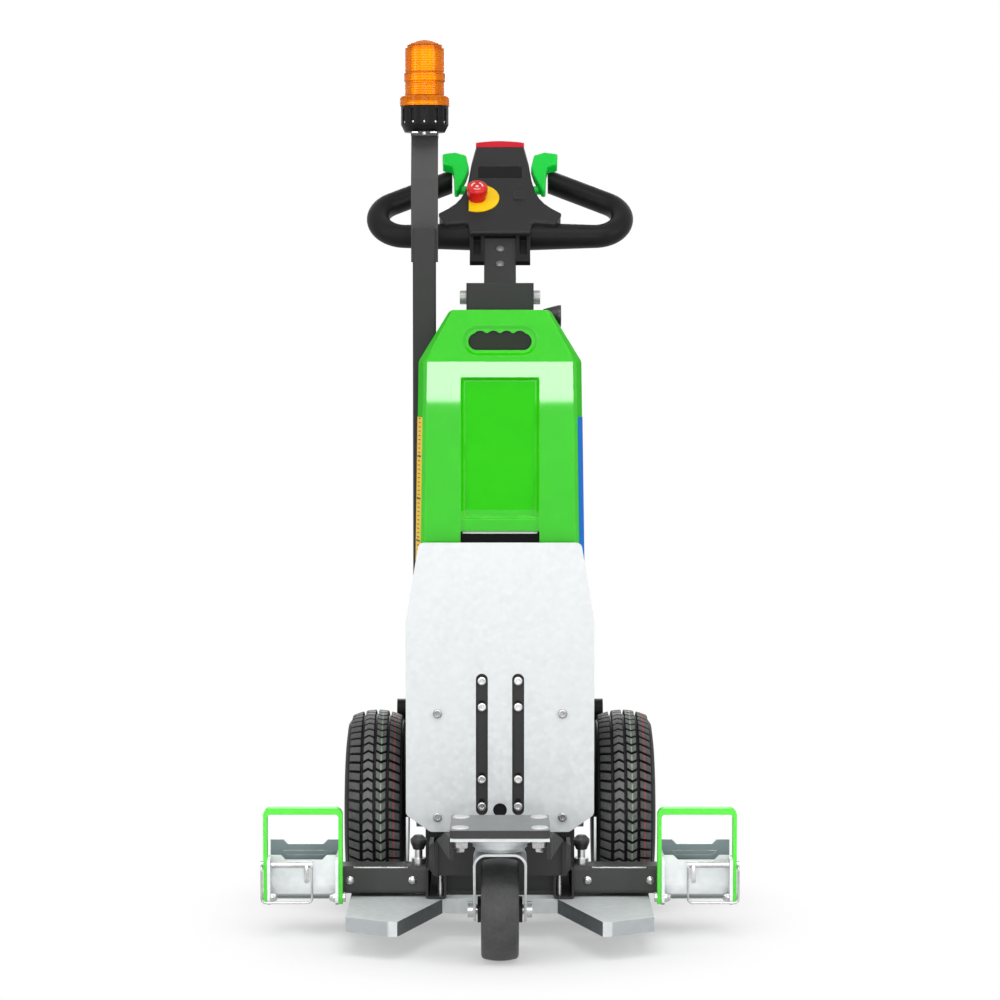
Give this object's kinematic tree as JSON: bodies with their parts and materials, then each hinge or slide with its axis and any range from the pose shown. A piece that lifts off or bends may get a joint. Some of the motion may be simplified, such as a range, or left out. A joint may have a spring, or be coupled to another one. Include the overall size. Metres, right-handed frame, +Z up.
{
  "type": "pedestrian electric tow tractor",
  "caption": "Pedestrian electric tow tractor: driven pneumatic wheels, swivel castor under a nose plate, gated castor pockets on cross arms, battery case and tilting tiller.",
  "frame": {"origin": "on the floor, at the middle of the width and of the length", "axes": "+Z up, +X to the right as seen from the load side, +Y towards the operator"},
  "size_m": [0.605, 0.7552, 1.158],
  "materials": {
    "zinc": "galvanised sheet",
    "black_coat": "satin powder coat",
    "green_case": "glossy moulded plastic",
    "green_bail": "gloss powder coat",
    "green_paddle": "moulded plastic",
    "tyre": "moulded rubber",
    "castor_rubber": "matt rubber",
    "castor_hub": "moulded nylon",
    "rim": "silver paint",
    "bright_steel": "bright zinc plate",
    "cast_alloy": "cast",
    "motor_black": "satin paint",
    "black_plastic": "moulded plastic",
    "grey_plastic": "textured moulded plastic",
    "amber_lens": "clear tinted plastic",
    "red_button": "moulded plastic",
    "yellow_plate": "printed plate, blank",
    "battery": "hidden block"
  },
  "bodies": {
    "chassis": {"frame_rails": "black_coat", "neck_plates": "black_coat", "nose_plate": "black_coat", "caster_plate": "zinc", "front_plate": "zinc", "slot_bars": "black_coat", "body_shell": "black_coat", "battery_case": "green_case", "battery_block": "battery", "column": "black_coat", "tilt_bolt": "black_coat", "tilt_plunger": "black_plastic", "rear_cover": "black_plastic", "rear_bar": "black_coat", "rear_bar_caps": "zinc", "beacon_post": "black_coat", "beacon_strap": "black_coat", "beacon_base": "black_plastic", "beacon_lens": "amber_lens", "arms": "black_coat", "arm_locks": "black_plastic", "pockets": "zinc", "bails": "green_bail", "bail_bolts": "bright_steel", "lock_pins": "bright_steel", "skid_plate": "zinc", "transaxle": "cast_alloy", "drive_motor": "motor_black"},
    "left_wheel": {"tyre_left": "tyre", "rim_left": "rim", "shaft_left": "bright_steel"},
    "right_wheel": {"tyre_right": "tyre", "rim_right": "rim", "shaft_right": "bright_steel"},
    "castor_yoke": {"caster_fork": "zinc", "caster_axle": "bright_steel"},
    "castor_wheel": {"caster_tread": "castor_rubber", "caster_hub": "castor_hub"},
    "tiller": {"tiller_tube": "black_coat", "handle_frame": "black_plastic", "head_cover": "grey_plastic", "thumb_paddles": "green_paddle", "estop_plate": "yellow_plate", "estop_button": "red_button", "belly_button": "red_button"}
  },
  "joints": [
    {"name": "left_wheel_spin", "type": "hinge", "parent": "chassis", "child": "left_wheel", "pos_m": [-0.164, 0.07835, 0.13], "axis": [1, 0, 0], "continuous": true},
    {"name": "right_wheel_spin", "type": "hinge", "parent": "chassis", "child": "right_wheel", "pos_m": [0.164, 0.07835, 0.13], "axis": [1, 0, 0], "continuous": true},
    {"name": "castor_swivel", "type": "hinge", "parent": "chassis", "child": "castor_yoke", "pos_m": [0, -0.32165, 0.155], "axis": [0, 0, 1], "continuous": true},
    {"name": "castor_wheel_spin", "type": "hinge", "parent": "castor_yoke", "child": "castor_wheel", "pos_m": [0, -0.28364, 0.0625], "axis": [1, 0, 0], "continuous": true},
    {"name": "tiller_tilt", "type": "hinge", "parent": "chassis", "child": "tiller", "pos_m": [0, 0.12036, 0.813], "axis": [-1, 0, 0], "range_deg": [-30, 65]}
  ]
}
